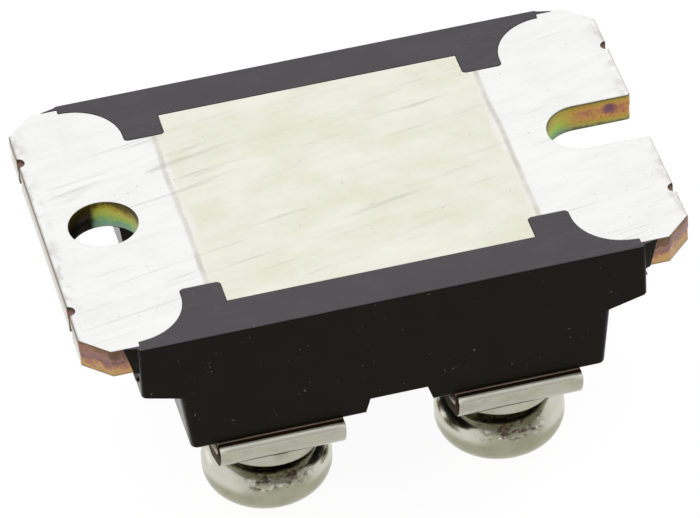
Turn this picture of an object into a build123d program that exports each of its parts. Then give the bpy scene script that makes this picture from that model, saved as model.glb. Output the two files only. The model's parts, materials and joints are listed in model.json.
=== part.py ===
"""Screw-terminal rectifier module, standing on its four screw heads with the base plate up.

Millimetres. The origin is on the table under the middle of the module, +X runs along its length
towards the open mounting slot, and +Z points up to the face of the base plate.
"""

import math
import os

from build123d import *

os.makedirs("parts", exist_ok=True)

# Heights that stack up from the table to the face of the base plate
head_height = 3.2
washer_height = 2.1
module_height = 12.0
moulding_height = 9.0

# Base plate
plate_length = 38.0
plate_width = 24.0
plate_thickness = 2.0
plate_corner = 1.65
mounting_hole = 4.3
mounting_margin = 3.8
nick_inset = 4.5
nick_radius = 0.4
mouth_rounding = 0.3

# Moulding that shows flush in the plate's face: a rail on each long side with a finger at each end
rail_width = 2.5
finger_width = 2.5
finger_drop = 0.6
finger_rounding = 0.25
lobe_radius = 3.4
lobe_step = 0.4
lobe_inset = 0.25

# Moulded body
body_inset = 3.2
rail_skin = 0.45
side_draft = 0.5
end_rounding = 0.3
shoulder_depth = 3.9
shoulder_fall = 0.65
shoulder_reach = 2.3
tower_draft = 0.45
tower_rounding = 0.45
rim_rounding = 0.12
tower_end_rounding = 0.2
notch_mouth = 4.3
notch_floor = 3.6
notch_depth = 1.15
recess_radius = 5.2
toe_reach = 0.8
toe_back_reach = 0.3
flash_depth = 0.85
flash_height = 0.5
flash_reach = 0.2

# Terminals: strip that leaves the body at its edge and folds over a nut
terminal_pitch_x = 15.0
nut_to_leg = 0.8
terminal_width = 7.9
sheet = 0.8
fold_bulge = 0.65
fold_radius = 2.2
fold_slope = 23
nut_to_fold = 0.05
ledge_bulge = 0.35
ledge_fall = 0.25
leg_skin = 0.5
leg_width = 2.2
foot_length = 4.25
tab_reach = 3.95
tab_corner = 0.8
slot_play = 0.2
slot_travel = 0.65

# Screws, washers and nuts
thread_diameter = 4.0
screw_length = 8.0
screw_tip = 0.5
head_diameter = 8.2
head_rim_rounding = 1.1
head_end_rounding = 1.6
recess_across = 4.4
recess_arm = 1.2
recess_depth = 1.9
recess_taper = 12
washer_play = 0.1
washer_diameter = 7.0
washer_thickness = 0.9
washer_bite = 0.06
washer_sweep = 348
washer_turns = {"left_near": 60, "left_far": 200, "right_near": 115, "right_far": 310}
nut_flats = 7.0
nut_height = 3.2
nut_bevel = 0.6
nut_chamfer_angle = 30
pocket_clearance = 0.05
screw_clearance = 0.3
screw_end_clearance = 0.5

# Inside: substrate, dice and wires
base_solder_thickness = 0.1
back_copper_thickness = 0.3
ceramic_thickness = 0.63
pad_thickness = 0.3
joint_thickness = 0.1
die_thickness = 0.3
ceramic_end_margin = 6.7
ceramic_side_margin = 3.15
back_copper_margin = 0.4
pad_margin = 0.4
pad_gap = 0.8
anode_pad_width = 5.2
die_size = 6.0
wires_per_die = 3
wire_pitch = 1.6
wire_diameter = 0.4
wire_sides = 6
wire_rise = 1.2
wire_bend = 0.8
wire_foot = 1.5

# Lengths and widths that follow from the plate's
body_length = plate_length - 2 * body_inset
body_width = plate_width + 2 * rail_skin
body_end_width = body_width - 2 * side_draft
tower_root_length = body_length - 2 * shoulder_reach
tower_end_length = tower_root_length - 2 * tower_draft
ceramic_length = body_length - 2 * ceramic_end_margin
ceramic_width = body_width - 2 * ceramic_side_margin
rail_edge = plate_width / 2 - rail_width

# Openings and faces that follow from the thread and the nut
slot_across = thread_diameter + slot_play
slot_along = slot_across + slot_travel
washer_bore = thread_diameter + washer_play
nut_face = nut_flats - 2 * nut_bevel

# Levels and places that follow from the sizes above
terminal_z = head_height + washer_height
plate_face_z = terminal_z + module_height
plate_back_z = plate_face_z - plate_thickness
tower_end_z = plate_face_z - moulding_height
hole_x = plate_length / 2 - mounting_margin
lobe_x = body_length / 2 - lobe_inset
lobe_y = plate_width / 2 - lobe_step - lobe_radius
finger_tip = lobe_y - finger_drop
finger_outer = lobe_x - lobe_radius
finger_inner = finger_outer - finger_width
screw_x = terminal_pitch_x / 2
nut_z = terminal_z + sheet
ledge_reach = body_end_width / 2 + ledge_bulge
terminal_reach = body_end_width / 2 + fold_bulge
leg_outer = body_end_width / 2 - leg_skin
leg_inner = leg_outer - sheet
foot_end = leg_outer - foot_length
screw_y = leg_inner - nut_to_leg - nut_flats / 2
tab_end = screw_y - tab_reach
fold_y = screw_y + nut_face / 2 + nut_to_fold
solder_z = plate_back_z - base_solder_thickness
back_copper_z = solder_z - back_copper_thickness
ceramic_z = back_copper_z - ceramic_thickness
pad_z = ceramic_z - pad_thickness
joint_z = pad_z - joint_thickness
foot_z = joint_z - sheet
die_z = joint_z - die_thickness
pad_outer_x = ceramic_length / 2 - pad_margin
pad_outer_y = ceramic_width / 2 - pad_margin
pad_mid_x = (pad_outer_x + pad_gap / 2) / 2
pad_split_y = pad_outer_y - anode_pad_width - pad_gap / 2

# The four corners, as (name, side along X, side along Y), and the two diodes
corners = [("left_near", -1, -1), ("left_far", -1, 1), ("right_near", 1, -1), ("right_far", 1, 1)]
diodes = [("left", -1), ("right", 1)]

# Least rise of an edge, over its length, for it to count as upright
upright_slope = 0.9

pieces = []


def keep(piece, name):
    """Label a finished piece, write it out and remember it."""
    piece.label = name
    export_step(piece, f"parts/{name}.step")
    pieces.append(piece)


def rail_outline(side):
    """Outline of one rail's cut in the plate, on the side of Y that is given."""
    outside = side * plate_width
    shoulder = side * (lobe_y + lobe_radius)
    bend = lobe_radius * math.sqrt(0.5)
    middle = side * (lobe_y + bend)
    lobe = side * lobe_y
    tip = side * finger_tip
    edge = side * rail_edge
    Polyline((-lobe_x, outside), (-lobe_x, shoulder))
    ThreePointArc((-lobe_x, shoulder), (bend - lobe_x, middle), (-finger_outer, lobe))
    Polyline(
        (-finger_outer, lobe),
        (-finger_outer, tip),
        (-finger_inner, tip),
        (-finger_inner, edge),
        (finger_inner, edge),
        (finger_inner, tip),
        (finger_outer, tip),
        (finger_outer, lobe),
    )
    ThreePointArc((finger_outer, lobe), (lobe_x - bend, middle), (lobe_x, shoulder))
    Polyline((lobe_x, shoulder), (lobe_x, outside), (-lobe_x, outside))


with BuildPart() as base_plate:
    with BuildSketch(Plane.XY.offset(plate_back_z)) as blank:
        Rectangle(plate_length, plate_width)
        chamfer(blank.vertices(), plate_corner)
        with Locations((-hole_x, 0), (hole_x, 0)):
            Circle(mounting_hole / 2, mode=Mode.SUBTRACT)
        with Locations((hole_x + plate_length / 2, 0)):
            Rectangle(plate_length, mounting_hole, mode=Mode.SUBTRACT)
        mouth = blank.vertices().filter_by(
            lambda v: v.X > plate_length / 2 - nick_radius and abs(v.Y) < mounting_hole
        )
        fillet(mouth, mouth_rounding)
        with GridLocations(plate_length, plate_width - 2 * nick_inset, 2, 2):
            Circle(nick_radius, mode=Mode.SUBTRACT)
    extrude(amount=plate_thickness)
    for side in (-1, 1):
        with BuildSketch(Plane.XY.offset(plate_back_z)) as rail_cut:
            with BuildLine():
                rail_outline(side)
            make_face()
            near_fingers = rail_cut.vertices().filter_by(
                lambda v: abs(v.X) < finger_outer + finger_rounding
            )
            tips = near_fingers.filter_by(lambda v: abs(v.Y) < lobe_y - finger_rounding)
            fillet(tips, finger_rounding)
        extrude(amount=plate_thickness, mode=Mode.SUBTRACT)

keep(base_plate.part, "base_plate")


def layer(name, length, width, top, thickness, x=0.0, y=0.0):
    """Flat rectangular layer of the stack behind the base plate, hanging down from its top level."""
    with BuildPart() as sheet_layer:
        with BuildSketch(Plane.XY.offset(top)):
            with Locations((x, y)):
                Rectangle(length, width)
        extrude(amount=-thickness)
    keep(sheet_layer.part, name)


back_length = ceramic_length - 2 * back_copper_margin
back_width = ceramic_width - 2 * back_copper_margin
layer("base_solder", back_length, back_width, plate_back_z, base_solder_thickness)
layer("substrate_back_copper", back_length, back_width, solder_z, back_copper_thickness)
layer("substrate_ceramic", ceramic_length, ceramic_width, back_copper_z, ceramic_thickness)


def bond_wire(name, x, die_y, pad_y):
    """Wire of few sides that leaves the die square to it, loops over and lands square on the pad."""
    loop_z = die_z - wire_rise
    with BuildPart() as wire:
        with BuildLine():
            FilletPolyline(
                (x, die_y, die_z),
                (x, die_y, loop_z),
                (x, pad_y, loop_z),
                (x, pad_y, pad_z),
                radius=wire_bend,
            )
        with BuildSketch(Plane.XY.offset(die_z)):
            with Locations((x, die_y)):
                RegularPolygon(wire_diameter / 2, wire_sides)
        sweep()
    keep(wire.part, name)


def diode(name, side):
    """One diode: its pads, die, solder and wires. The right one is the left one turned half round."""
    pad_length = pad_outer_x - pad_gap / 2
    pad_x = side * pad_mid_x
    anode_y = side * (pad_outer_y - anode_pad_width / 2)
    cathode_width = pad_outer_y + pad_split_y - pad_gap / 2
    cathode_y = side * (cathode_width / 2 - pad_outer_y)
    die_y = side * (pad_split_y - pad_gap - die_size / 2)
    layer(f"anode_pad_{name}", pad_length, anode_pad_width, ceramic_z, pad_thickness, pad_x, anode_y)
    layer(f"cathode_pad_{name}", pad_length, cathode_width, ceramic_z, pad_thickness, pad_x, cathode_y)
    layer(f"die_solder_{name}", die_size, die_size, pad_z, joint_thickness, pad_x, die_y)
    layer(f"die_{name}", die_size, die_size, joint_z, die_thickness, pad_x, die_y)
    wire_start = die_y + side * wire_foot
    wire_end = side * (pad_split_y + pad_gap / 2 + wire_bend)
    for number in range(wires_per_die):
        wire_x = pad_x + (number - (wires_per_die - 1) / 2) * wire_pitch
        bond_wire(f"bond_wire_{name}_{number + 1}", wire_x, wire_start, wire_end)


for name, side in diodes:
    diode(name, side)


def strip_outline(side):
    """Section of the strip outside the body: ledge under the body, fold, slope down to the tab, tab."""
    slope = math.radians(fold_slope)
    inner_radius = fold_radius - sheet
    centre_y = terminal_reach - fold_radius
    mitre_y = fold_y + sheet * math.tan(slope / 2)
    centre_rise = (fold_radius + (centre_y - mitre_y) * math.sin(slope)) / math.cos(slope)
    centre_z = terminal_z + centre_rise

    def on_fold(radius, angle):
        """Point of the fold at an angle below the level of its centre."""
        return side * (centre_y + radius * math.cos(angle)), centre_z - radius * math.sin(angle)

    crown_z = tower_end_z - ledge_fall
    root_z = tower_end_z - sheet
    slope_angle = math.pi / 2 - slope
    crown_angle = math.asin((centre_z - crown_z) / fold_radius)
    root_angle = math.asin((centre_z - root_z) / inner_radius)
    crown = on_fold(fold_radius, crown_angle)
    root = on_fold(inner_radius, root_angle)
    outer_mid = on_fold(fold_radius, (crown_angle + slope_angle) / 2)
    inner_mid = on_fold(inner_radius, (root_angle + slope_angle) / 2)
    outer_slope = on_fold(fold_radius, slope_angle)
    inner_slope = on_fold(inner_radius, slope_angle)
    Polyline(
        (side * leg_inner, tower_end_z),
        (side * ledge_reach, tower_end_z),
        crown,
    )
    ThreePointArc(crown, outer_mid, outer_slope)
    Polyline(
        outer_slope,
        (side * mitre_y, terminal_z),
        (side * tab_end, terminal_z),
        (side * tab_end, nut_z),
        (side * fold_y, nut_z),
        inner_slope,
    )
    ThreePointArc(inner_slope, inner_mid, root)
    Polyline(
        root,
        (side * leg_inner, root_z),
        (side * leg_inner, tower_end_z),
    )


def terminal(name, x_side, y_side):
    """Folded strip with a slot for its screw, and a narrower leg that ends in a foot on the pad."""
    strip_x = x_side * screw_x
    foot_y = y_side * foot_end
    with BuildPart() as strip:
        with BuildSketch(Plane.YZ.offset(strip_x)):
            with BuildLine():
                strip_outline(y_side)
            make_face()
        extrude(amount=terminal_width / 2, both=True)
        with BuildSketch(Plane.YZ.offset(strip_x)):
            with BuildLine():
                Polyline(
                    (y_side * leg_inner, tower_end_z - sheet),
                    (y_side * leg_inner, foot_z),
                    (foot_y, foot_z),
                    (foot_y, joint_z),
                    (y_side * leg_outer, joint_z),
                    (y_side * leg_outer, tower_end_z - sheet),
                    close=True,
                )
            make_face()
        extrude(amount=leg_width / 2, both=True)
        with BuildSketch(Plane.XY.offset(terminal_z)):
            with Locations((strip_x, y_side * screw_y)):
                SlotOverall(slot_along, slot_across, rotation=90)
        extrude(amount=sheet, mode=Mode.SUBTRACT)
        uprights = strip.edges().filter_by(Axis.Z)
        chamfer(uprights.filter_by(lambda e: abs(e.center().Y) < tab_end + sheet / 2), tab_corner)
    keep(strip.part, f"terminal_{name}")
    contact_width = pad_outer_y - foot_end
    layer(
        f"terminal_solder_{name}",
        leg_width,
        contact_width,
        pad_z,
        joint_thickness,
        strip_x,
        y_side * (foot_end + contact_width / 2),
    )


for name, x_side, y_side in corners:
    terminal(name, x_side, y_side)


with BuildPart() as moulded_body:
    shoulder_z = plate_face_z - shoulder_depth
    right_half = [
        (body_length / 2, plate_face_z),
        (body_length / 2, shoulder_z),
        (tower_root_length / 2, shoulder_z - shoulder_fall),
        (tower_end_length / 2, tower_end_z),
        (notch_mouth / 2, tower_end_z),
        (notch_floor / 2, tower_end_z + notch_depth),
    ]
    left_half = [(-x, z) for x, z in reversed(right_half)]
    with BuildSketch(Plane.XZ):
        with BuildLine():
            Polyline(*right_half, *left_half, close=True)
        make_face()
    extrude(amount=body_width / 2, both=True)
    with BuildSketch(Plane.YZ):
        with BuildLine():
            Polyline(
                (-body_width / 2, plate_face_z),
                (body_width / 2, plate_face_z),
                (body_end_width / 2, tower_end_z),
                (-body_end_width / 2, tower_end_z),
                close=True,
            )
        make_face()
    extrude(amount=body_length, both=True, mode=Mode.INTERSECT)
    uprights = moulded_body.edges().filter_by(lambda e: abs(e.tangent_at(0.5).Z) > upright_slope)
    fillet(
        uprights.filter_by(lambda e: notch_mouth < abs(e.center().X) < tower_root_length / 2),
        tower_rounding,
    )
    uprights = moulded_body.edges().filter_by(lambda e: abs(e.tangent_at(0.5).Z) > upright_slope)
    fillet(
        uprights.filter_by(lambda e: abs(e.center().X) > body_length / 2 - end_rounding),
        end_rounding,
    )

    outline = moulded_body.edges().filter_by(
        lambda e: abs(e.center().Y) > body_end_width / 2 - end_rounding
        or abs(e.center().X) > tower_end_length / 2 - end_rounding
    )
    fillet(outline.filter_by_position(Axis.Z, plate_face_z, plate_face_z), rim_rounding)
    fillet(outline.filter_by_position(Axis.Z, tower_end_z, tower_end_z), tower_end_rounding)

    # Line of flash left by the mould across each end
    flash_z = plate_back_z - flash_depth
    for side in (-1, 1):
        with BuildSketch(Plane.XZ):
            with BuildLine():
                Polyline(
                    (side * body_length / 2, flash_z + flash_height / 2),
                    (side * (body_length / 2 + flash_reach), flash_z),
                    (side * body_length / 2, flash_z - flash_height / 2),
                    close=True,
                )
            make_face()
        extrude(amount=body_end_width / 2 - end_rounding, both=True)

    # Toes that run out beside the plate at the four corners
    toe_outer = (body_width - end_rounding) / 2
    for name, x_side, y_side in corners:
        for z, reach in ((plate_back_z, toe_back_reach), (plate_face_z, toe_reach)):
            with BuildSketch(Plane.XY.offset(z)):
                with BuildLine():
                    Polyline(
                        (x_side * (lobe_x - end_rounding), y_side * lobe_y),
                        (x_side * (body_length / 2 + reach), y_side * lobe_y),
                        (x_side * (body_length / 2 + reach), y_side * plate_width / 2),
                        (x_side * (body_length / 2 - end_rounding), y_side * toe_outer),
                        (x_side * (lobe_x - end_rounding), y_side * toe_outer),
                        close=True,
                    )
                make_face()
        loft(ruled=True)

    # Recesses for the heads of the mounting screws, behind the plate's hole and slot
    for side in (-1, 1):
        with BuildSketch(Plane.XY.offset(plate_face_z)):
            with Locations((side * hole_x, 0)):
                Circle(recess_radius)
            with Locations((side * (hole_x + recess_radius), 0)):
                Rectangle(2 * recess_radius, 2 * recess_radius)
        extrude(amount=-moulding_height, mode=Mode.SUBTRACT)

    # Pockets for the nuts, and clearance for the screw ends beyond them
    with BuildSketch(Plane.XY.offset(tower_end_z)):
        with GridLocations(terminal_pitch_x, 2 * screw_y, 2, 2):
            RegularPolygon(nut_flats / 2 + pocket_clearance, 6, major_radius=False)
    extrude(amount=nut_z + nut_height - tower_end_z, mode=Mode.SUBTRACT)
    with BuildSketch(Plane.XY.offset(tower_end_z)):
        with GridLocations(terminal_pitch_x, 2 * screw_y, 2, 2):
            Circle(thread_diameter / 2 + screw_clearance)
    extrude(amount=head_height + screw_length + screw_end_clearance - tower_end_z, mode=Mode.SUBTRACT)

    # The body is moulded round the plate and the pieces inside
    for piece in pieces:
        add(piece, mode=Mode.SUBTRACT)

keep(moulded_body.part, "moulded_body")


def hex_nut(name, x, y):
    """Hexagon nut with both faces chamfered."""
    corner_radius = nut_flats / math.sqrt(3)
    drop = (corner_radius - nut_face / 2) * math.tan(math.radians(nut_chamfer_angle))
    with BuildPart() as nut:
        with BuildSketch(Plane((x, y, nut_z))):
            RegularPolygon(nut_flats / 2, 6, major_radius=False)
        extrude(amount=nut_height)
        with BuildSketch(Plane((x, y, nut_z), x_dir=(1, 0, 0), z_dir=(0, -1, 0))):
            with BuildLine():
                Polyline(
                    (thread_diameter / 2, 0),
                    (nut_face / 2, 0),
                    (corner_radius, drop),
                    (corner_radius, nut_height - drop),
                    (nut_face / 2, nut_height),
                    (thread_diameter / 2, nut_height),
                    close=True,
                )
            make_face()
        revolve(axis=Axis((x, y, nut_z), (0, 0, 1)), mode=Mode.INTERSECT)
    keep(nut.part, f"nut_{name}")


def lock_washer(name, x, y, turn):
    """Spring washer: one turn of flat wire in a left-hand coil, ground by the faces that press on it."""
    wire_width = (washer_diameter - washer_bore) / 2
    rise = washer_height - washer_thickness + washer_bite
    start = Plane((x, y, head_height - (washer_bite - washer_thickness) / 2)).rotated((0, 0, turn))
    with BuildPart() as washer:
        with BuildLine(start) as coil:
            Helix(
                pitch=rise * 360 / washer_sweep,
                height=rise,
                radius=(washer_bore + wire_width) / 2,
                lefthand=True,
            )
        radial = (coil.line @ 0) - Vector(x, y, (coil.line @ 0).Z)
        with BuildSketch(Plane(coil.line @ 0, x_dir=radial, z_dir=coil.line % 0)):
            Rectangle(wire_width, washer_thickness)
        sweep(path=coil.line, is_frenet=True)
        with BuildSketch(Plane((x, y, head_height))):
            Circle(washer_diameter)
        extrude(amount=washer_height, mode=Mode.INTERSECT)
    keep(washer.part, f"lock_washer_{name}")


def pan_head_screw(name, x, y):
    """Pan-head machine screw with its head down and a cross recess in the head."""
    thread = thread_diameter / 2
    head = head_diameter / 2
    tip_z = head_height + screw_length
    end_flat = head - head_end_rounding
    rim_flat = head - head_rim_rounding
    slant = math.sqrt(0.5)
    section = Plane((x, y, 0), x_dir=(1, 0, 0), z_dir=(0, -1, 0))
    with BuildPart() as screw:
        with BuildSketch(section):
            with BuildLine():
                Polyline((0, tip_z), (0, 0), (end_flat, 0))
                ThreePointArc(
                    (end_flat, 0),
                    (end_flat + head_end_rounding * slant, head_end_rounding * (1 - slant)),
                    (head, head_end_rounding),
                )
                Line((head, head_end_rounding), (head, head_height - head_rim_rounding))
                ThreePointArc(
                    (head, head_height - head_rim_rounding),
                    (
                        rim_flat + head_rim_rounding * slant,
                        head_height - head_rim_rounding * (1 - slant),
                    ),
                    (rim_flat, head_height),
                )
                Polyline(
                    (rim_flat, head_height),
                    (thread, head_height),
                    (thread, tip_z - screw_tip),
                    (thread - screw_tip, tip_z),
                    (0, tip_z),
                )
            make_face()
        revolve(axis=Axis((x, y, 0), (0, 0, 1)))
        with BuildSketch(Plane((x, y, 0))):
            Rectangle(recess_across, recess_arm)
            Rectangle(recess_arm, recess_across)
        extrude(amount=recess_depth, taper=recess_taper, mode=Mode.SUBTRACT)
    keep(screw.part, f"screw_{name}")


for name, x_side, y_side in corners:
    hex_nut(name, x_side * screw_x, y_side * screw_y)
    lock_washer(name, x_side * screw_x, y_side * screw_y, washer_turns[name])
    pan_head_screw(name, x_side * screw_x, y_side * screw_y)
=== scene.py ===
"""Looks of the screw-terminal rectifier module: finishes, fine shapes, floor, light and camera.

Blender works in metres. The sizes named here are in millimetres and degrees, unless they say otherwise.
"""

import json
import math

import bmesh
import bpy
from mathutils import Matrix, Vector


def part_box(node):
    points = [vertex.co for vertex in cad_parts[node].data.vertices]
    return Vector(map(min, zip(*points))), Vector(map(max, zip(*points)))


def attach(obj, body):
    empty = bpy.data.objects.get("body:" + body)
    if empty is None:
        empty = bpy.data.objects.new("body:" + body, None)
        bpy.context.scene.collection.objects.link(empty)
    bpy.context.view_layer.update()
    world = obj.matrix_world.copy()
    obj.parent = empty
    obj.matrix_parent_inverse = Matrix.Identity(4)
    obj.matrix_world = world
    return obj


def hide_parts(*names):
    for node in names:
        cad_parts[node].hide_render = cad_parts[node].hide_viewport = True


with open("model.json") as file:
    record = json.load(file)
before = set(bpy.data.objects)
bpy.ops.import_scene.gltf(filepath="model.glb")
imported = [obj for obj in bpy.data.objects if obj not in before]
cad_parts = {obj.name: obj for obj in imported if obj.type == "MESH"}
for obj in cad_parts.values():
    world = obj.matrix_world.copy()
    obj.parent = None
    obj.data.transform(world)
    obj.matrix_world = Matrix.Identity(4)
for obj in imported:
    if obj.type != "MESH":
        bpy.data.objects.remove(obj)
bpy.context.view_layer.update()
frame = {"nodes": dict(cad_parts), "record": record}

MM = 0.001

# Camera, fitted to the photograph and aimed at a point of the plate's face
PHOTO_WIDTH_PX = 700
SENSOR_MM = 36.0
CAMERA_AZIMUTH = -11.318
CAMERA_ELEVATION = 39.396
CAMERA_ROLL = -4.399
CAMERA_DISTANCE = 367.26
CAMERA_FOCAL_PX = 6067.9
CAMERA_TARGET_XY = (-1.611, -8.016)
CAMERA_CLIP_METRES = (0.01, 20.0)

# Plate
plate_back, plate_face = (corner[2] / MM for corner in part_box("base_plate"))
PLATE_THICKNESS = plate_face - plate_back
PLATE_END = 19.0
PLATE_SIDE = 12.0
HOLE_X = -15.2
HOLE_RADIUS = 2.15
SLOT_INNER_X = 13.05
SLOT_HALF_WIDTH = 2.15
NICK_Y = 7.5
NICK_RADIUS = 0.4
BREAK_LEVEL = plate_back + 1.05

# Marks on the plate: its ivory middle, the jig's line at each end of that, the slant of the hair scratches
# and the corner that has more of them, and the purple spot on the slot's wall
CENTRE_FIELD_X = 10.4
WITNESS_HALF_LENGTH = 7.4
RUB_TURN = 11
RUBBED_FROM_X = (9.5, 13.0)
RUBBED_TO_Y = (-7.0, -2.0)
SPOT_X = 17.6
SPOT_DEPTH = 0.30

CORNERS = ("left_near", "left_far", "right_near", "right_far")

# Screws
head_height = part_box("lock_washer_left_near")[0][2] / MM
head_low, head_high = (Vector(corner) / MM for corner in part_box("screw_right_far"))
HEAD_RADIUS = (head_high.x - head_low.x) / 2
SCREW_X, SCREW_Y = (head_low.xy + head_high.xy) / 2
HEAD_CAP_RADIUS = 0.3
HEAD_END_ROUNDING = 1.6
HEAD_RIM_ROUNDING = 1.1
THREAD_RADIUS = 2.0
THREAD_PITCH = 0.7
THREAD_DEPTH = 0.38
THREAD_FLANK = 2.3
ROWS_PER_PITCH = 8
SCREW_TIP = 0.5
RECESS_ACROSS = 4.4
RECESS_ARM = 1.2
RECESS_DEPTH = 1.9
RECESS_TAPER = 12

# Spring washers, and where each one's gap points
WASHER_BORE = 4.1
WASHER_DIAMETER = 7.0
WASHER_THICKNESS = 0.9
WASHER_EDGE = 0.08
WASHER_BITE = 0.06
WASHER_SWEEP = 348
WASHER_TURNS = {"left_near": 60, "left_far": 200, "right_near": 115, "right_far": 310}

# Terminals
terminal_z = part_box("terminal_left_near")[0][2] / MM
ledge_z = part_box("moulded_body")[0][2] / MM
SHEET = 0.8
TERMINAL_WIDTH = 7.9
TERMINAL_REACH = 12.6
FOLD_RADIUS = 2.2
FOLD_SLOPE = 23
FOLD_START = 9.3
LEDGE_FALL = 0.25
LEDGE_REACH = 12.3
LEDGE_ROOT = 11.95
LEG_INNER = 10.65
LEG_WIDTH = 2.2
TAB_END = 2.4
TAB_CORNER = 0.8
TERMINAL_SLOT_ACROSS = 4.2
TERMINAL_SLOT_ALONG = 4.85
TERMINAL_SLOT_MARGIN = 0.3
FOOT_END = 7.2

# Rounding of a strip's cut edges, as (distance in from the cut face, inset of the section)
CUT_EDGE = [(0.0, 0.07), (0.02, 0.03), (0.07, 0.0)]

# Floor: half its side in metres, its grey for the light that it throws back on the object, and, where it
# is seen, its glow and the grey that takes the object's shadow
FLOOR_HALF = 1.5
FLOOR_BOUNCE = 0.80
FLOOR_GLOW = 0.935
FLOOR_SHADE = 0.11

# Surroundings, dimmer round one direction: the edge runs between two cosines of the angle from it
WORLD_LEVEL = 0.97
DIM_LEVEL = 0.46
DIM_DIRECTION = (0.15, -0.68, 0.72)
DIM_EDGE = (0.66, 0.96)

# Soft lamps, as (name, place, size, power) in metres and watts
LAMPS = [
    ("overhead", (0.0, 0.15, 0.5), 0.6, 0.10),
    ("rim_left", (-0.44, 0.37, 0.11), 0.24, 0.06),
    ("rim_right", (0.43, 0.40, 0.09), 0.24, 0.07),
]

# Mesh work
WELD = 1e-6
SHARP_ANGLE = math.radians(40)
INSET_LIMIT = 0.3
HEAD_STEPS = 20
TURN_STEPS = 72
WASHER_STEPS = 96
FOLD_STEPS = (24, 20)
SLOT_STEPS = 24


class Nodes:
    """Short calls for building a node tree."""

    def __init__(self, tree):
        self.tree = tree

    def add(self, kind, inputs=None, **settings):
        """A new node with its settings, and with values or links for its inputs."""
        node = self.tree.nodes.new(kind)
        for name, value in settings.items():
            setattr(node, name, value)
        for key, value in (inputs or {}).items():
            self.feed(node.inputs[key], value)
        return node

    def feed(self, socket, value):
        """Links another node's output to a socket, or sets the socket to a value."""
        if isinstance(value, bpy.types.NodeSocket):
            self.tree.links.new(value, socket)
        else:
            socket.default_value = value

    def math(self, operation, a, b=0.0, c=0.0):
        """A number worked out from others."""
        return self.add("ShaderNodeMath", {0: a, 1: b, 2: c}, operation=operation).outputs[0]


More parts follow.
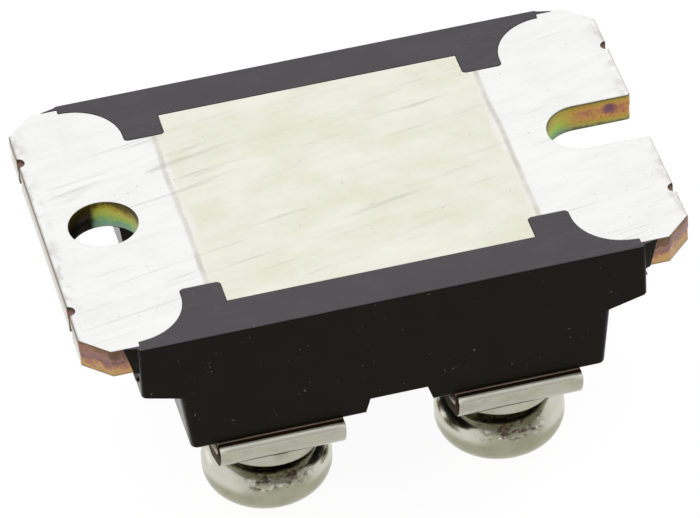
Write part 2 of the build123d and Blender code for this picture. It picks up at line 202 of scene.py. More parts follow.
class Finish(Nodes):
    """A material under construction, with the patterns that finishes here share."""

    def __init__(self, name):
        self.material = bpy.data.materials.new(name)
        self.material.use_nodes = True
        super().__init__(self.material.node_tree)
        self.shader = self.tree.nodes["Principled BSDF"]
        self.place = self.add("ShaderNodeTexCoord").outputs["Object"]

    def set(self, **values):
        """Sets or links inputs of the shader. Underscores in a name stand for spaces."""
        for name, value in values.items():
            self.feed(self.shader.inputs[name.replace("_", " ")], value)

    def bump(self, height, depth_mm, strength):
        """Gives the surface fine relief of a depth."""
        inputs = {"Height": height, "Distance": depth_mm * MM, "Strength": strength}
        self.set(Normal=self.add("ShaderNodeBump", inputs).outputs[0])

    # Numbers

    def times(self, a, b):
        return self.math("MULTIPLY", a, b)

    def minus(self, a, b):
        return self.math("SUBTRACT", a, b)

    def size(self, value):
        """A number without its sign."""
        return self.math("ABSOLUTE", value)

    def off(self, value, middle):
        """How far a value is from a number, either way."""
        return self.size(self.minus(value, middle))

    def raised(self, value, share, amount):
        """A value with a share of an amount added."""
        return self.math("MULTIPLY_ADD", share, amount, value)

    def shaken(self, value, noise, amount):
        """A value moved up and down by a 0 to 1 noise, over an amount."""
        return self.raised(value, self.minus(noise, 0.5), amount)

    def step(self, value, low, high):
        """0 below low, 1 above high, and smooth between."""
        inputs = {"Value": value, "From Min": low, "From Max": high}
        node = self.add("ShaderNodeMapRange", inputs, interpolation_type="SMOOTHSTEP")
        return node.outputs[0]

    def falling(self, value, low, high):
        """1 below low, 0 above high, and smooth between."""
        return self.minus(1.0, self.step(value, low, high))

    def spread(self, value, low, high):
        """A 0 to 1 value spread between two numbers."""
        node = self.add("ShaderNodeMapRange", {"Value": value, "To Min": low, "To Max": high})
        return node.outputs[0]

    def mixed(self, factor, a, b):
        """One of two numbers, or what lies between them."""
        return self.add("ShaderNodeMix", {0: factor, 2: a, 3: b}).outputs[0]

    # Places and patterns

    def split(self, vector=None):
        """X, Y and Z of a vector, by default the place on the object in millimetres."""
        source = vector or self.scaled((1 / MM,) * 3)
        return self.add("ShaderNodeSeparateXYZ", {0: source}).outputs

    def normal(self):
        """X, Y and Z of the direction that the surface faces."""
        return self.split(self.add("ShaderNodeTexCoord").outputs["Normal"])

    def length(self, x, y, z):
        """Length of a vector, given by its three parts."""
        vector = self.add("ShaderNodeCombineXYZ", {0: x, 1: y, 2: z}).outputs[0]
        return self.add("ShaderNodeVectorMath", {0: vector}, operation="LENGTH").outputs["Value"]

    def scaled(self, factors, turn=0.0):
        """The place on the object times a factor for each axis, first turned about Z by degrees."""
        place = self.place
        if turn:
            inputs = {"Vector": place, "Angle": math.radians(-turn)}
            place = self.add("ShaderNodeVectorRotate", inputs, rotation_type="Z_AXIS").outputs[0]
        node = self.add("ShaderNodeVectorMath", {0: place, 1: factors}, operation="MULTIPLY")
        return node.outputs[0]

    def noise(self, size_mm, stretch=(1, 1, 1), detail=3.0, roughness=0.5, distortion=0.0, turn=0.0):
        """Noise from 0 to 1 with features of about this size, stretched along axes turned about Z."""
        factors = tuple(1 / (MM * size_mm * s) for s in stretch)
        inputs = {
            "Vector": self.scaled(factors, turn),
            "Scale": 1.0,
            "Detail": detail,
            "Roughness": roughness,
            "Distortion": distortion,
        }
        return self.add("ShaderNodeTexNoise", inputs).outputs["Fac"]

    # Colours

    def mix(self, factor, a, b):
        """One of two colours, or what lies between them."""
        node = self.add("ShaderNodeMix", data_type="RGBA")
        self.feed(node.inputs["Factor"], factor)
        for socket, colour in ((node.inputs[6], a), (node.inputs[7], b)):
            self.feed(socket, colour if isinstance(colour, bpy.types.NodeSocket) else (*colour, 1.0))
        return node.outputs[2]

    def laid(self, cover, amount, under, colour):
        """A colour laid over another one where the cover is 1, and as thickly as the amount says."""
        return self.mix(self.times(cover, amount), under, colour)

    def ramp(self, value, stops):
        """Colour ramp through (position, colour) stops."""
        node = self.add("ShaderNodeValToRGB", {0: value})
        elements = node.color_ramp.elements
        while len(elements) < len(stops):
            elements.new(0.5)
        for element, (position, colour) in zip(elements, stops):
            element.position = position
            element.color = (*colour, 1.0)
        return node.outputs[0]


class PlateFinish(Finish):
    """Bright rubbed nickel on the flat faces, and tarnished copper on the punched walls."""

    def __init__(self):
        super().__init__("plated_base")
        self.x, self.y, self.z = self.split()
        self.facing = self.normal()
        self.across = self.size(self.x)
        self.along = self.size(self.y)
        self.depth = self.times(self.minus(plate_face, self.z), 1 / PLATE_THICKNESS)
        self.shallow = self.math("MINIMUM", self.depth, self.minus(1.0, self.depth))
        self.broad = self.noise(1.0, (4, 0.9, 1), detail=5.0, roughness=0.6, distortion=0.3, turn=RUB_TURN)
        self.cloud = self.noise(3.4, (1.3, 1, 1), detail=5.0, roughness=0.6)
        self.patches = self.noise(1.3, (1, 1, 0.7), detail=3.0, roughness=0.55, distortion=0.5)
        self.fine = self.noise(0.26, detail=4.0, roughness=0.65)

    def field(self):
        """Plain bright ends, and an ivory middle with ragged patches."""
        ends = self.mix(self.step(self.broad, 0.30, 0.80), (0.945, 0.945, 0.94), (0.895, 0.895, 0.885))
        ends = self.mix(self.step(self.cloud, 0.50, 0.75), ends, (0.89, 0.885, 0.87))
        centre = self.mix(self.step(self.broad, 0.25, 0.75), (0.86, 0.865, 0.755), (0.83, 0.835, 0.715))
        centre = self.mix(self.step(self.cloud, 0.35, 0.80), centre, (0.795, 0.785, 0.65))
        border = self.shaken(self.across, self.cloud, 2.4)
        in_centre = self.falling(border, CENTRE_FIELD_X - 0.6, CENTRE_FIELD_X + 0.3)
        thickness = self.spread(self.step(self.cloud, 0.25, 0.60), 0.72, 1.0)
        return self.laid(in_centre, thickness, ends, centre)

    def scratched(self, face):
        """Long hair scratches, a little askew and more of them in front of the slot, and small specks."""
        rubbed = self.times(self.step(self.x, *RUBBED_FROM_X), self.falling(self.y, *RUBBED_TO_Y))
        rubbed = self.spread(rubbed, 0.36, 0.75)
        for size, width, level in ((1.9, 0.010, 0.50), (1.1, 0.008, 0.46), (0.7, 0.010, 0.55)):
            wave = self.noise(size, (60, 1, 1), detail=1.0, roughness=0.3, turn=RUB_TURN)
            hair = self.falling(self.off(wave, level), width * 0.2, width)
            some = self.step(self.noise(1.6, (3, 0.5, 1), detail=2.0, turn=RUB_TURN), 0.50, 0.68)
            face = self.laid(self.times(hair, some), rubbed, face, (0.50, 0.50, 0.46))
        specks = self.step(self.noise(0.26, detail=1.0), 0.745, 0.79)
        specks = self.times(specks, self.step(self.cloud, 0.46, 0.54))
        return self.laid(specks, 0.45, face, (0.36, 0.36, 0.34))

    def marked(self, face):
        """The jig's soft line at each end of the middle, then grime and rolled edges at the ends."""
        wavering = self.shaken(self.across, self.noise(5.0, detail=1.0), 0.4)
        line = self.falling(self.off(wavering, CENTRE_FIELD_X), 0.05, 0.26)
        short = self.falling(self.along, WITNESS_HALF_LENGTH, WITNESS_HALF_LENGTH + 0.8)
        worn = self.spread(self.step(self.noise(1.6, detail=3.0), 0.30, 0.65), 0.45, 1.0)
        witness = self.times(self.times(line, short), worn)
        face = self.laid(witness, 0.55, face, (0.44, 0.42, 0.34))
        grime = self.step(self.noise(0.7, (1, 1.6, 1), detail=4.0, roughness=0.6), 0.48, 0.62)
        grime = self.times(grime, self.step(self.across, PLATE_END - 1.0, PLATE_END - 0.1))
        face = self.laid(grime, 0.40, face, (0.46, 0.44, 0.42))
        rolled = self.step(self.across, PLATE_END - 0.16, PLATE_END - 0.07)
        return self.laid(rolled, 0.45, face, (0.46, 0.42, 0.37))

    def copper(self):
        """Heat colours of bare copper: pink and purple above, orange gold below, and brown edges."""
        film = self.shaken(self.depth, self.patches, 1.1)
        film = self.shaken(film, self.fine, 0.5)
        copper = self.ramp(film, [
            (0.05, (0.22, 0.12, 0.07)),
            (0.24, (0.35, 0.18, 0.13)),
            (0.44, (0.26, 0.145, 0.14)),
            (0.58, (0.38, 0.18, 0.11)),
            (0.74, (0.55, 0.33, 0.13)),
            (0.92, (0.45, 0.28, 0.11)),
        ])
        torn = self.falling(self.off(self.shaken(self.depth, self.patches, 0.5), 0.5), 0.015, 0.05)
        torn = self.times(torn, self.step(self.fine, 0.50, 0.60))
        copper = self.laid(torn, 0.8, copper, (0.05, 0.025, 0.012))
        sheared = self.falling(self.shaken(self.depth, self.fine, 1.2), 0.20, 0.50)
        sheared = self.times(sheared, self.step(self.along, PLATE_SIDE - 0.2, PLATE_SIDE - 0.1))
        copper = self.laid(sheared, 0.75, copper, (0.11, 0.065, 0.04))
        edge = self.falling(self.shallow, 0.02, 0.09)
        return self.laid(edge, 0.8, copper, (0.14, 0.11, 0.055))

    def with_slot(self, wall):
        """The slot's wall: olive edges, orange and red between, and golden green at the inner end."""
        film = self.raised(-0.06, self.step(self.shallow, 0.0, 0.36), 0.42)
        film = self.raised(film, self.step(self.x, SLOT_INNER_X + 0.5, SLOT_INNER_X + 3.6), 0.22)
        film = self.raised(film, self.falling(self.depth, 0.50, 0.95), 0.32)
        film = self.shaken(film, self.patches, 0.45)
        film = self.shaken(film, self.fine, 0.70)
        orange = self.ramp(film, [
            (0.10, (0.12, 0.12, 0.05)),
            (0.28, (0.34, 0.33, 0.09)),
            (0.46, (0.46, 0.35, 0.07)),
            (0.64, (0.47, 0.29, 0.055)),
            (0.80, (0.57, 0.31, 0.085)),
            (0.98, (0.42, 0.165, 0.085)),
        ])
        dots = self.step(self.noise(0.16, detail=2.0), 0.62, 0.70)
        orange = self.laid(dots, 0.55, orange, (0.12, 0.065, 0.02))
        golden = self.ramp(self.depth, [
            (0.08, (0.36, 0.29, 0.06)),
            (0.34, (0.46, 0.42, 0.06)),
            (0.60, (0.36, 0.50, 0.07)),
            (0.95, (0.14, 0.29, 0.20)),
        ])
        inner = self.falling(self.x, SLOT_INNER_X + 1.0, SLOT_INNER_X + 2.7)
        orange = self.laid(inner, self.step(self.depth, 0.0, 0.2), orange, golden)
        orange = self.laid(self.falling(self.shallow, 0.03, 0.12), 0.75, orange, (0.13, 0.13, 0.06))
        below = self.raised(self.minus(self.z, plate_face - SPOT_DEPTH), self.fine, 0.9)
        spot = self.falling(self.length(self.minus(self.x, SPOT_X), 0.0, below), 0.20, 0.58)
        orange = self.laid(spot, self.step(self.y, 0.0, 0.1), orange, (0.18, 0.08, 0.11))
        in_slot = self.falling(self.along, SLOT_HALF_WIDTH + 0.15, SLOT_HALF_WIDTH + 0.25)
        return self.laid(self.step(self.x, SLOT_INNER_X - 1.05, SLOT_INNER_X - 0.95), in_slot, wall, orange)

    def with_hole(self, wall):
        """The hole's wall runs from gold through green to grey blue, and is dark towards the left."""
        aside = self.minus(self.x, HOLE_X)
        tint = self.shaken(self.depth, self.patches, 0.5)
        tint = self.shaken(tint, self.fine, 0.5)
        tint = self.raised(tint, self.step(aside, 0.2, 1.8), -0.12)
        green = self.ramp(tint, [
            (0.03, (0.12, 0.09, 0.015)),
            (0.18, (0.32, 0.23, 0.025)),
            (0.36, (0.44, 0.43, 0.05)),
            (0.54, (0.33, 0.45, 0.10)),
            (0.72, (0.17, 0.36, 0.21)),
            (0.92, (0.22, 0.30, 0.26)),
        ])
        shaded = self.falling(self.depth, 0.10, 0.60)
        shaded = self.mix(shaded, (0.010, 0.008, 0.003), (0.10, 0.065, 0.010))
        lit = self.step(self.raised(aside, self.fine, 0.4), -0.30, 0.10)
        green = self.mix(lit, shaded, green)
        reach = self.length(aside, self.y, 0.0)
        return self.mix(self.falling(reach, HOLE_RADIUS + 0.3, HOLE_RADIUS + 0.4), wall, green)

    def with_ends(self, wall):
        """The nicks are brown above and green below. The left end is light silver below a dark line."""
        notched = self.falling(self.off(self.along, NICK_Y), NICK_RADIUS + 0.1, NICK_RADIUS + 0.15)
        notched = self.times(notched, self.step(self.across, PLATE_END - 0.6, PLATE_END - 0.5))
        nick = self.ramp(self.depth, [
            (0.05, (0.045, 0.035, 0.016)),
            (0.25, (0.26, 0.15, 0.12)),
            (0.50, (0.16, 0.16, 0.07)),
            (0.90, (0.10, 0.12, 0.06)),
        ])
        wall = self.mix(notched, wall, nick)
        silver = self.mix(self.step(self.depth, 0.2, 0.5), (0.42, 0.37, 0.31), (0.74, 0.71, 0.66))
        silver = self.mix(self.step(self.depth, 0.10, 0.22), (0.16, 0.12, 0.07), silver)
        at_end = self.falling(self.x, 0.15 - PLATE_END, 0.3 - PLATE_END)
        at_end = self.times(at_end, self.falling(self.facing[0], -0.9, -0.8))
        return self.laid(at_end, self.minus(1.0, notched), wall, silver)


def plate_finish():
    """The face's colours where the plate is flat, and the walls' colours elsewhere."""
    finish = PlateFinish()
    face = finish.marked(finish.scratched(finish.field()))
    wall = finish.with_ends(finish.with_hole(finish.with_slot(finish.copper())))
    flat = finish.step(finish.size(finish.facing[2]), 0.55, 0.8)
    finish.set(
        Base_Color=finish.mix(flat, wall, face),
        Metallic=finish.spread(flat, 0.75, 1.0),
        Roughness=finish.spread(finish.broad, 0.34, 0.48),
    )
    finish.bump(finish.mixed(flat, finish.fine, finish.broad), 0.014, 0.5)
    return finish.material


def moulding_finish():
    """Black moulded epoxy with a little dust, greyer where it shows flush in the plate's face: partly its
    own sanded grey, partly painted light from above.
    """
    finish = Finish("moulding")
    x, _, z = finish.split()
    facing = finish.normal()
    grain = finish.noise(0.09, detail=3.0, roughness=0.7)
    cloud = finish.noise(1.8, detail=3.0)
    side = finish.mix(cloud, (0.0060, 0.0042, 0.0016), (0.0084, 0.0066, 0.0034))
    # Top colour: partly the sanded faces' own grey, partly painted light from above
    top = finish.mix(cloud, (0.082, 0.078, 0.084), (0.103, 0.098, 0.107))
    scuffs = finish.step(finish.noise(0.8, (3, 0.5, 1), detail=4.0, roughness=0.6), 0.50, 0.72)
    scuffs = finish.times(scuffs, finish.step(finish.size(x), 7.5, 13.0))
    top = finish.laid(scuffs, 0.35, top, (0.14, 0.135, 0.14))
    # Painted light, in part: up-facing faces flush with the plate's face take the greyer top colour, the
    # rest the near-black side colour
    flush = finish.step(z, plate_face - 0.08, plate_face - 0.02)
    colour = finish.laid(flush, finish.step(facing[2], 0.5, 0.8), side, top)
    dust = finish.step(finish.noise(0.26, detail=1.0), 0.745, 0.78)
    dust = finish.times(dust, finish.step(cloud, 0.48, 0.58))
    end_wall = finish.step(finish.size(facing[0]), 0.6, 0.9)
    finish.set(
        Base_Color=finish.laid(dust, 0.5, colour, (0.24, 0.22, 0.19)),
        Roughness=finish.spread(grain, 0.24, 0.36),
        Specular_IOR_Level=finish.mixed(end_wall, 0.07, 0.45),
    )
    finish.bump(grain, 0.02, 0.4)
    return finish.material


def nickel(finish, base, dull, scratch=(1, 1, 1)):
    """Colour of nickel plating with dull patches, and the faint scratches in it."""
    patches = finish.noise(1.6, detail=4.0, roughness=0.6)
    scratches = finish.noise(0.25, scratch, detail=4.0, roughness=0.7)
    return finish.mix(finish.step(patches, 0.40, 0.72), base, dull), scratches


def nickel_finish(name, roughness, scratch=(1, 1, 1)):
    """Dull nickel plating without marks of its own."""
    finish = Finish(name)
    colour, scratches = nickel(finish, (0.46, 0.45, 0.37), (0.36, 0.35, 0.27), scratch)
    finish.set(Base_Color=colour, Metallic=1.0, Roughness=finish.spread(scratches, *roughness))
    finish.bump(scratches, 0.006, 0.35)
    return finish.material


def screw_finish():
    """Nickel of the screws, with painted highlights on the shoulders of the head's rim, and stains with
    painted dark reflection at its front.
    """
    finish = Finish("screw_plating")
    colour, scratches = nickel(finish, (0.355, 0.350, 0.255), (0.29, 0.29, 0.20))
    x, y, z = finish.split()
    aside = finish.off(finish.size(x), SCREW_X)
    outward = finish.minus(finish.size(y), SCREW_Y)
    rim = finish.step(z, head_height - 1.5, head_height - 0.9)
    # Painted highlight: lighter nickel on the rim's shoulders, either side of the head
    colour = finish.laid(finish.times(rim, finish.step(aside, 1.0, 3.0)), 0.75, colour, (0.68, 0.67, 0.60))
    # Stains, partly painted dark reflection, mottled with lighter patches at the front of the rim
    stain_and_reflection_noise = finish.noise(0.38, (1.7, 1.7, 0.7), detail=4.0, roughness=0.6)
    front = finish.times(finish.step(outward, 1.8, 2.6), finish.falling(aside, 1.2, 2.6))
    front = finish.times(front, finish.step(z, head_height - 1.1, head_height - 0.7))
    stains_and_dark_reflection = finish.times(finish.step(stain_and_reflection_noise, 0.42, 0.60), front)
    brown = finish.ramp(finish.noise(0.5, (1.4, 1, 1), detail=3.0), [
        (0.38, (0.62, 0.60, 0.56)),
        (0.45, (0.25, 0.17, 0.15)),
        (0.52, (0.035, 0.026, 0.020)),
        (0.60, (0.20, 0.13, 0.115)),
        (0.68, (0.60, 0.58, 0.55)),
    ])
    uneven = finish.mixed(rim, scratches, stain_and_reflection_noise)
    finish.set(
        Base_Color=finish.laid(stains_and_dark_reflection, 0.92, colour, brown),
        Metallic=1.0,
        Roughness=finish.spread(uneven, 0.10, 0.26),
    )
    finish.bump(uneven, 0.006, finish.spread(rim, 0.35, 1.0))
    return finish.material


def terminal_finish():
    """Nickel of the terminals: brown cut faces, a painted highlight on the crest, painted shade low on the
    fold, and a painted dark reflection along the body.
    """
    finish = Finish("terminal_plating")
    colour, scratches = nickel(finish, (0.44, 0.43, 0.35), (0.36, 0.35, 0.27), (12, 1, 1))
    _, y, z = finish.split()
    out = finish.size(y)
    cut = finish.step(finish.size(finish.normal()[0]), 0.55, 0.8)
    colour = finish.mix(cut, colour, (0.065, 0.040, 0.026))
    # Painted shade: darker towards the bottom of the fold
    lower = finish.falling(z, terminal_z + 1.0, terminal_z + 2.6)
    colour = finish.laid(lower, 0.35, colour, (0.22, 0.21, 0.16))
    # Painted highlight: a bright band along the crest, just below the ledge
    above = finish.step(z, ledge_z - 0.3, ledge_z - 0.22)
    colour = finish.laid(above, finish.minus(1.0, cut), colour, (0.76, 0.75, 0.64))
    # On the flat ledge, painted dark reflection of the black body, with a pink line where the strip leaves
    # the body
    ledge = finish.times(above, finish.falling(out, LEDGE_REACH - 0.04, LEDGE_REACH + 0.03))
    pink_root_line = finish.falling(out, LEDGE_ROOT, LEDGE_ROOT + 0.03)
    ledge_reflection_and_line = finish.mix(pink_root_line, (0.016, 0.008, 0.003), (0.30, 0.22, 0.17))
    matt = finish.math("MAXIMUM", ledge, cut)
    finish.set(
        Base_Color=finish.mix(ledge, colour, ledge_reflection_and_line),
        Metallic=finish.minus(1.0, matt),
        Specular_IOR_Level=finish.spread(matt, 0.5, 0.0),
        Roughness=finish.spread(scratches, 0.14, 0.30),
    )
    finish.bump(scratches, 0.006, 0.35)
    return finish.material


def plain_finish(name, light, dark, size_mm, roughness, metallic):
    """Mottled finish for what is sealed inside the module."""
    finish = Finish(name)
    cloud = finish.noise(size_mm, detail=4.0)
    finish.set(
        Base_Color=finish.mix(cloud, light, dark),
        Metallic=metallic,
        Roughness=finish.spread(cloud, *roughness),
    )
    finish.bump(cloud, 0.01, 0.3)
    return finish.material


finishes = {
    "plated_base": plate_finish(),
    "moulding": moulding_finish(),
    "terminal_plating": terminal_finish(),
    "screw_plating": screw_finish(),
    "washer_plating": nickel_finish("washer_plating", (0.14, 0.30), (1, 1, 0.2)),
    "nut_plating": nickel_finish("nut_plating", (0.16, 0.32)),
    "ceramic": plain_finish("ceramic", (0.90, 0.90, 0.87), (0.82, 0.82, 0.79), 0.6, (0.5, 0.7), 0.0),
    "copper": plain_finish("copper", (0.80, 0.43, 0.28), (0.62, 0.30, 0.18), 1.2, (0.25, 0.45), 1.0),
    "solder": plain_finish("solder", (0.60, 0.60, 0.62), (0.42, 0.42, 0.44), 0.8, (0.35, 0.6), 1.0),
    "silicon": plain_finish("silicon", (0.26, 0.27, 0.32), (0.18, 0.19, 0.24), 2.0, (0.05, 0.15), 0.9),
    "bond_wire": plain_finish("bond_wire", (0.82, 0.82, 0.83), (0.70, 0.70, 0.72), 0.4, (0.2, 0.35), 1.0),
}

slot_of = {part["node"]: part["material_slot"] for part in frame["record"]["subparts"]}
for node, part in frame["nodes"].items():
    part.data.materials.clear()
    part.data.materials.append(finishes[slot_of[node]])


def left_of(before, here, after):
    """Direction square to a loop at one of its points, on its left, as long as a unit inset needs."""
    along = (here - before).normalized() + (after - here).normalized()
    square = Vector((-along.y, along.x)).normalized()
    first = (here - before).normalized()
    return square / max(square.dot(Vector((-first.y, first.x))), INSET_LIMIT)


def inset(loop, distance):
    """A flat loop moved to its left by a distance."""
    before, after = loop[-1:] + loop[:-1], loop[1:] + loop[:1]
    return [b + left_of(a, b, c) * distance for a, b, c in zip(before, loop, after)]


def arc(centre, radius, start, end, steps):
    """Points of an arc between two angles in degrees, both ends included."""
    turns = [math.radians(start + (end - start) * i / steps) for i in range(steps + 1)]
    return [Vector((centre[0] + radius * math.cos(t), centre[1] + radius * math.sin(t))) for t in turns]


def flat_ring(centre, level, loop):
    """Ring of one level loop of points about a centre."""
    return [[(centre[0] + x * MM, centre[1] + y * MM, level * MM) for x, y in loop]]


def upright_ring(centre, side, offset, section):
    """Ring of one upright section, given as (reach, height), beside a centre and on a side of Y."""
    return [[(centre[0] + offset * MM, side * reach * MM, height * MM) for reach, height in section]]


def face_loops(node, level):
    """Outlines, in plan, of a CAD node's flat face at a level. The face lies on their left."""
    source = bmesh.new()
    source.from_mesh(frame["nodes"][node].data)
    bmesh.ops.remove_doubles(source, verts=source.verts, dist=WELD)
    # A dict keeps its order, so the outlines start at the same point in every run
    flat = dict.fromkeys(f for f in source.faces if all(abs(v.co.z - level) < WELD for v in f.verts))
    following = {}
    for face in flat:
        for corner in face.loops:
            if sum(f in flat for f in corner.edge.link_faces) == 1:
                following[corner.vert] = corner.link_loop_next.vert
    loops = []
    while following:
        vertex = next(iter(following))
        loop = []
        while vertex in following:
            loop.append(vertex.co.xy)
            vertex = following.pop(vertex)
        loops.append([point.copy() for point in loop])
    source.free()
    return loops


def stacked(rings):
    """Closed mesh through rings, each a list of matching loops of points, with a flat cap at each end."""
    bm = bmesh.new()
    made = [[[bm.verts.new(point) for point in loop] for loop in ring] for ring in rings]
    for lower, upper in zip(made, made[1:]):
        for low, high in zip(lower, upper):
            for i in range(len(low)):
                j = (i + 1) % len(low)
                bm.faces.new((low[i], low[j], high[j], high[i])).smooth = True
    for ring in (made[0], made[-1]):
        rim = [bm.edges.get((loop[i - 1], loop[i])) for loop in ring for i in range(len(loop))]
        bmesh.ops.triangle_fill(bm, use_beauty=True, edges=rim)
    bmesh.ops.recalc_face_normals(bm, faces=bm.faces)
    return bm


def turned(profile, centre, radius_at):
    """Closed mesh of a profile of (radius, height) turned about an upright axis.

    The function given says how far out each point comes, from its angle, height and radius.
    """
    bm = bmesh.new()
    rings = []
    for radius, height in profile:
        ring = []
        for i in range(TURN_STEPS):
            angle = math.tau * i / TURN_STEPS
            reach = radius_at(angle, height, radius)
            place = (centre[0] + reach * math.cos(angle), centre[1] + reach * math.sin(angle), height)
            ring.append(bm.verts.new(place))
        rings.append(ring)
    for low, high in zip(rings, rings[1:]):
        for i in range(TURN_STEPS):
            j = (i + 1) % TURN_STEPS
            bm.faces.new((low[i], low[j], high[j], high[i])).smooth = True
    for ring in (rings[0], rings[-1]):
        bm.faces.new(ring)
    bmesh.ops.recalc_face_normals(bm, faces=bm.faces)
    return bm


def made_object(name, bm):
    """Object of a finished mesh, with its sharp edges marked."""
    for edge in bm.edges:
        edge.smooth = edge.calc_face_angle(math.pi) < SHARP_ANGLE
    mesh = bpy.data.meshes.new(name)
    bm.to_mesh(mesh)
    bm.free()
    piece = bpy.data.objects.new(name, mesh)
    bpy.context.scene.collection.objects.link(piece)
    return piece


def carve(piece, bm, operation="DIFFERENCE"):
    """Cuts a mesh out of a piece, or joins it on, for good."""
    tool = made_object("tool", bm)
    modifier = piece.modifiers.new("carve", "BOOLEAN")
    modifier.object = tool
    modifier.operation = operation
    modifier.solver = "EXACT"
    shape = piece.evaluated_get(bpy.context.evaluated_depsgraph_get())
    carved = bpy.data.meshes.new_from_object(shape)
    piece.modifiers.remove(modifier)
    piece.data = carved
    bpy.data.objects.remove(tool)


def stands_for(piece, node):
    """Puts a piece in a CAD node's place, with the node's finish."""
    slot = slot_of[node]
    piece.data.materials.clear()
    piece.data.materials.append(finishes[slot])
    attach(piece, "root")
    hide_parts(node)


def build_plate():
    """Punched plate: rolled-over edges, a sheared band, and a rougher, set-back band where it broke."""
    loops = face_loops("base_plate", plate_face * MM)
    levels = [
        (plate_back, 0.09),
        (plate_back + 0.03, 0.05),
        (plate_back + 0.10, 0.03),
        (BREAK_LEVEL - 0.25, 0.045),
        (BREAK_LEVEL - 0.04, 0.03),
        (BREAK_LEVEL + 0.04, 0.0),
        (plate_face - 0.12, 0.0),
        (plate_face - 0.05, 0.015),
        (plate_face - 0.015, 0.04),
        (plate_face, 0.08),
    ]
    rings = []
    for level, distance in levels:
        ring = [[(*point, level * MM) for point in inset(loop, distance * MM)] for loop in loops]
        rings.append(ring)
    stands_for(made_object("plate", stacked(rings)), "base_plate")


def build_screw(corner, centre):
    """Pan-head screw, head down, with its thread and a cross recess in the head."""
    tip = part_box("screw_" + corner)[1][2] / MM
    end_centre = (HEAD_RADIUS - HEAD_END_ROUNDING, HEAD_END_ROUNDING)
    rim_centre = (HEAD_RADIUS - HEAD_RIM_ROUNDING, head_height - HEAD_RIM_ROUNDING)
    profile = [(HEAD_CAP_RADIUS, 0.0)]
    profile += arc(end_centre, HEAD_END_ROUNDING, -90, 0, HEAD_STEPS)
    profile += arc(rim_centre, HEAD_RIM_ROUNDING, 0, 90, HEAD_STEPS)
    rows = round((tip - head_height) / THREAD_PITCH * ROWS_PER_PITCH)
    for i in range(rows + 1):
        profile.append((THREAD_RADIUS, head_height + (tip - head_height) * i / rows))
    profile = [(radius * MM, height * MM) for radius, height in profile]

    def thread(angle, height, radius):
        if height <= head_height * MM:
            return radius
        turn = (height / MM / THREAD_PITCH - angle / math.tau) % 1.0
        groove = min(abs(turn - 0.5) * THREAD_FLANK, 1.0)
        run_in = min((tip * MM - height) / MM, SCREW_TIP)
        cap = THREAD_RADIUS - SCREW_TIP + run_in
        return min(THREAD_RADIUS - THREAD_DEPTH * groove, cap) * MM

    piece = made_object("fastener_" + corner, turned(profile, centre, thread))
    arm, reach = RECESS_ARM / 2, RECESS_ACROSS / 2
    cross = [
        (-arm, -reach), (arm, -reach), (arm, -arm), (reach, -arm), (reach, arm), (arm, arm),
        (arm, reach), (-arm, reach), (-arm, arm), (-reach, arm), (-reach, -arm), (-arm, -arm),
    ]
    cross = [Vector(point) for point in cross]
    slope = math.tan(math.radians(RECESS_TAPER))
    levels = (-0.1, 0.0, RECESS_DEPTH * 0.5, RECESS_DEPTH)
    carve(piece, stacked([flat_ring(centre, level, inset(cross, level * slope)) for level in levels]))
    stands_for(piece, "screw_" + corner)


def build_washer(corner, centre):
    """Spring washer: one turn of flat wire in a left-hand coil with worn ends."""
    low, high = (c[2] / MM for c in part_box("lock_washer_" + corner))
    inner, outer = WASHER_BORE / 2, WASHER_DIAMETER / 2
    half = WASHER_THICKNESS / 2
    edge, soft = WASHER_EDGE, WASHER_EDGE * 0.3
    section = [
        (inner + edge, -half), (outer - edge, -half), (outer - soft, -half + soft),
        (outer, -half + edge), (outer, half - edge), (outer - soft, half - soft),
        (outer - edge, half), (inner + edge, half), (inner + soft, half - soft),
        (inner, half - edge), (inner, -half + edge), (inner + soft, -half + soft),
    ]
    first, last = low + half - WASHER_BITE / 2, high - half + WASHER_BITE / 2
    rings = []
    for i in range(WASHER_STEPS + 1):
        share = i / WASHER_STEPS
        angle = math.radians(WASHER_TURNS[corner] - WASHER_SWEEP * share)
        middle = first + (last - first) * share
        ring = []
        for radius, rise in section:
            level = min(max(middle + rise, low), high)
            across, along = math.cos(angle) * radius * MM, math.sin(angle) * radius * MM
            ring.append((centre[0] + across, centre[1] + along, level * MM))
        rings.append([ring])
    stands_for(made_object("spring_washer_" + corner, stacked(rings)), "lock_washer_" + corner)


def strip_section():
    """Section of a strip, without its tab's end: the points before it and those after it."""
    slope = math.radians(FOLD_SLOPE)
    inner = FOLD_RADIUS - SHEET
    mitre = FOLD_START + SHEET * math.tan(slope / 2)
    fold_y = TERMINAL_REACH - FOLD_RADIUS
    fold_z = terminal_z + (FOLD_RADIUS + (fold_y - mitre) * math.sin(slope)) / math.cos(slope)
    crown = math.degrees(math.asin((fold_z - (ledge_z - LEDGE_FALL)) / FOLD_RADIUS))
    root = math.degrees(math.asin((fold_z - (ledge_z - SHEET)) / inner))
    outside = [Vector((LEG_INNER, ledge_z)), Vector((LEDGE_REACH, ledge_z))]
    outside += arc((fold_y, fold_z), FOLD_RADIUS, -crown, FOLD_SLOPE - 90, FOLD_STEPS[0])
    outside.append(Vector((mitre, terminal_z)))
    inside = [Vector((FOLD_START, terminal_z + SHEET))]
    inside += arc((fold_y, fold_z), inner, FOLD_SLOPE - 90, -root, FOLD_STEPS[1])
    inside.append(Vector((LEG_INNER, ledge_z - SHEET)))
    return outside, inside


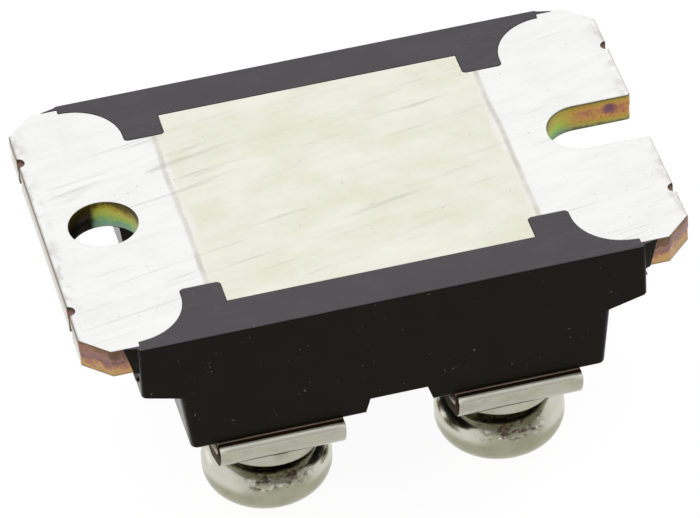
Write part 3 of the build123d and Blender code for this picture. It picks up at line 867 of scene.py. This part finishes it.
def build_terminal(corner, centre, side):
    """Folded terminal strip with soft cut edges, its slot, and the leg and foot inside the body."""
    outside, inside = strip_section()
    half = TERMINAL_WIDTH / 2
    cuts = CUT_EDGE + [(TAB_CORNER, 0.0)]
    offsets = [(deep - half, inward) for deep, inward in cuts]
    offsets += [(half - deep, inward) for deep, inward in reversed(cuts)]
    rings = []
    for offset, inward in offsets:
        end = TAB_END + max(0.0, TAB_CORNER - (half - abs(offset)))
        tab = [Vector((end, terminal_z)), Vector((end, terminal_z + SHEET))]
        rings.append(upright_ring(centre, side, offset, inset(outside + tab + inside, -inward)))
    piece = made_object("strip_" + corner, stacked(rings))

    low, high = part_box("terminal_" + corner)
    top = high[2] / MM
    leg_root = ledge_z - SHEET * 0.5
    leg = [
        (LEG_INNER, leg_root), (LEG_INNER, top - SHEET), (FOOT_END, top - SHEET),
        (FOOT_END, top), (LEG_INNER + SHEET, top), (LEG_INNER + SHEET, leg_root),
    ]
    rings = [upright_ring(centre, side, offset, leg) for offset in (-LEG_WIDTH / 2, LEG_WIDTH / 2)]
    carve(piece, stacked(rings), "UNION")

    straight = (TERMINAL_SLOT_ALONG - TERMINAL_SLOT_ACROSS) / 2
    around = arc((0, straight), TERMINAL_SLOT_ACROSS / 2, 0, 180, SLOT_STEPS)
    around += arc((0, -straight), TERMINAL_SLOT_ACROSS / 2, 180, 360, SLOT_STEPS)
    levels = (terminal_z - TERMINAL_SLOT_MARGIN, terminal_z + SHEET + TERMINAL_SLOT_MARGIN)
    carve(piece, stacked([flat_ring(centre, level, around) for level in levels]))
    stands_for(piece, "terminal_" + corner)


def build_floor():
    """Pale floor that reads as plain white to the camera and keeps the object's shadow."""
    mesh = bpy.data.meshes.new("floor")
    corners = [(x, y, 0) for x, y in ((-1, -1), (1, -1), (1, 1), (-1, 1))]
    mesh.from_pydata([Vector(corner) * FLOOR_HALF for corner in corners], [], [(0, 1, 2, 3)])
    sheet = bpy.data.objects.new("floor", mesh)
    bpy.context.scene.collection.objects.link(sheet)
    material = bpy.data.materials.new("floor")
    material.use_nodes = True
    nodes = Nodes(material.node_tree)
    nodes.tree.nodes.clear()
    rays = nodes.add("ShaderNodeLightPath").outputs
    through = nodes.math("MAXIMUM", rays["Is Glossy Ray"], rays["Is Transmission Ray"])
    seen = nodes.math("MAXIMUM", rays["Is Camera Ray"], through)
    bounce = nodes.add("ShaderNodeBsdfDiffuse", {"Color": (FLOOR_BOUNCE,) * 3 + (1,)})
    shade = nodes.add("ShaderNodeBsdfDiffuse", {"Color": (FLOOR_SHADE,) * 3 + (1,)})
    glow = nodes.add("ShaderNodeEmission", {"Strength": FLOOR_GLOW})
    look = nodes.add("ShaderNodeAddShader", {0: shade.outputs[0], 1: glow.outputs[0]})
    choose = nodes.add("ShaderNodeMixShader", {0: seen, 1: bounce.outputs[0], 2: look.outputs[0]})
    nodes.add("ShaderNodeOutputMaterial", {"Surface": choose.outputs[0]})
    mesh.materials.append(material)


def light_studio():
    """White surroundings, dimmer above the photographer, and soft lamps overhead and behind."""
    world = bpy.data.worlds.new("studio")
    bpy.context.scene.world = world
    world.use_nodes = True
    nodes = Nodes(world.node_tree)
    rays = nodes.add("ShaderNodeLightPath").outputs
    direction = nodes.add("ShaderNodeTexCoord").outputs["Generated"]
    towards = nodes.add("ShaderNodeVectorMath", {0: direction, 1: DIM_DIRECTION}, operation="DOT_PRODUCT")
    inputs = {
        "Value": towards.outputs["Value"],
        "From Min": DIM_EDGE[0],
        "From Max": DIM_EDGE[1],
        "To Min": WORLD_LEVEL,
        "To Max": DIM_LEVEL,
    }
    level = nodes.add("ShaderNodeMapRange", inputs, interpolation_type="SMOOTHSTEP").outputs[0]
    strength = nodes.add("ShaderNodeMix", {0: rays["Is Camera Ray"], 2: level, 3: 1.0}).outputs[0]
    background = nodes.tree.nodes["Background"]
    nodes.feed(background.inputs["Strength"], strength)
    nodes.feed(background.inputs["Color"], (1, 1, 1, 1))

    for name, place, size, power in LAMPS:
        light = bpy.data.lights.new(name, "AREA")
        light.size = size
        light.energy = power
        lamp = bpy.data.objects.new(name, light)
        lamp.location = place
        lamp.rotation_mode = "QUATERNION"
        lamp.rotation_quaternion = (-lamp.location).to_track_quat("-Z", "Y")
        bpy.context.scene.collection.objects.link(lamp)


def place_camera():
    """The photograph's viewpoint."""
    angles = (CAMERA_AZIMUTH, CAMERA_ELEVATION, CAMERA_ROLL)
    azimuth, elevation, roll = (math.radians(angle) for angle in angles)
    level = math.cos(elevation)
    back = Vector((math.sin(azimuth) * level, -math.cos(azimuth) * level, math.sin(elevation)))
    right = (-back).cross(Vector((0, 0, 1))).normalized()
    up = right.cross(-back)
    across = math.cos(roll) * right + math.sin(roll) * up
    upward = math.cos(roll) * up - math.sin(roll) * right
    data = bpy.data.cameras.new("camera")
    data.sensor_width = SENSOR_MM
    data.sensor_fit = "HORIZONTAL"
    data.lens = CAMERA_FOCAL_PX * SENSOR_MM / PHOTO_WIDTH_PX
    data.clip_start, data.clip_end = CAMERA_CLIP_METRES
    viewer = bpy.data.objects.new("camera", data)
    target = Vector((*CAMERA_TARGET_XY, plate_face))
    place = (target + back * CAMERA_DISTANCE) * MM
    turn = Matrix((across, upward, back)).transposed()
    viewer.matrix_world = Matrix.Translation(place) @ turn.to_4x4()
    bpy.context.scene.collection.objects.link(viewer)
    bpy.context.scene.camera = viewer


build_plate()
for corner in CORNERS:
    low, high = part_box("screw_" + corner)
    centre = ((low[0] + high[0]) / 2, (low[1] + high[1]) / 2)
    build_screw(corner, centre)
    build_washer(corner, centre)
    build_terminal(corner, centre, -1 if "near" in corner else 1)

build_floor()
light_studio()
place_camera()
bpy.context.scene.view_settings.view_transform = "Standard"
